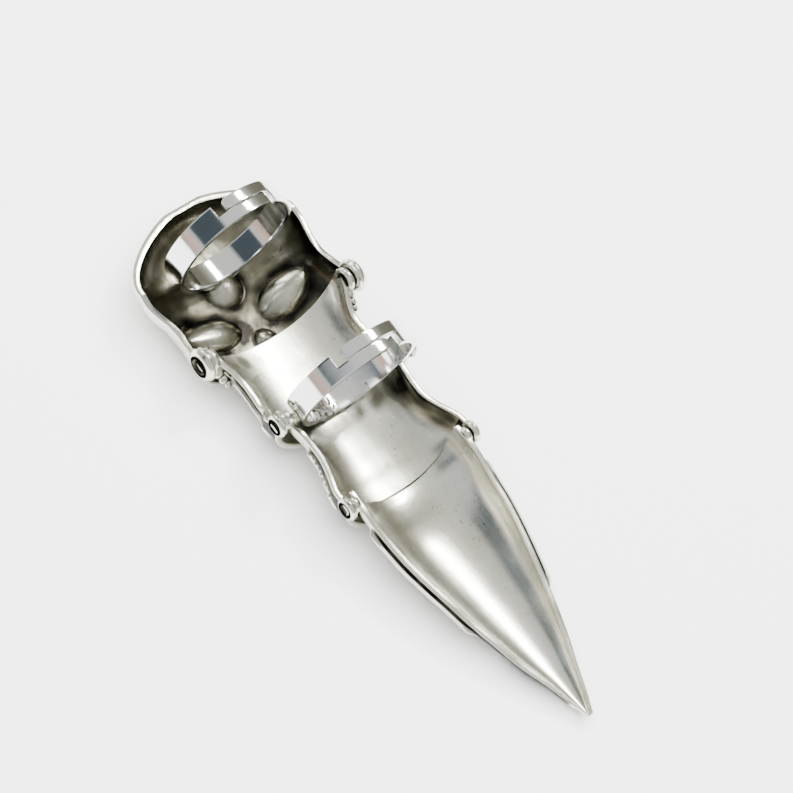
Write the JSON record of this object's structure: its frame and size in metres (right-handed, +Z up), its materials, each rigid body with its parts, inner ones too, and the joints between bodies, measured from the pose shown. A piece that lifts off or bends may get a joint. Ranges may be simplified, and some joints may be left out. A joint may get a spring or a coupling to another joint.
{
  "type": "knuckle armour ring",
  "caption": "Hinged knuckle armour finger ring with a skull plate, two scroll-relief plates and a long claw, worn on two split finger bands.",
  "frame": {"origin": "centre of the box on the table, under the ring as it lies on its back", "axes": "+X along the finger from the skull plate's crown to the claw's tip, +Y across to the left of that direction, +Z up from the table, towards the palm side"},
  "size_m": [0.0952, 0.0298, 0.0247],
  "materials": {
    "antique_silver": "antiqued silver, bright on the rims and the raised scrolls, black in the recesses",
    "pin_metal": "satin, dark round the edge"
  },
  "bodies": {
    "skull_body": {"skull_plate": "antique_silver", "pin_a_left": "pin_metal", "pin_a_right": "pin_metal"},
    "first_body": {"first_plate": "antique_silver", "pin_b_left": "pin_metal", "pin_b_right": "pin_metal"},
    "second_body": {"second_plate": "antique_silver", "pin_c_left": "pin_metal", "pin_c_right": "pin_metal"},
    "claw_body": {"claw": "antique_silver"}
  },
  "joints": [
    {"name": "base_hinge", "type": "hinge", "parent": "skull_body", "child": "first_body", "pos_m": [-0.0247, 0, 0.00845], "axis": [0, -1, 0], "range_deg": [0, 35]},
    {"name": "middle_hinge", "type": "hinge", "parent": "first_body", "child": "second_body", "pos_m": [-0.0104, 0, 0.01005], "axis": [0, -1, 0], "range_deg": [0, 40]},
    {"name": "claw_hinge", "type": "hinge", "parent": "second_body", "child": "claw_body", "pos_m": [0.00515, 0, 0.00875], "axis": [0, -1, 0], "range_deg": [0, 45]}
  ]
}
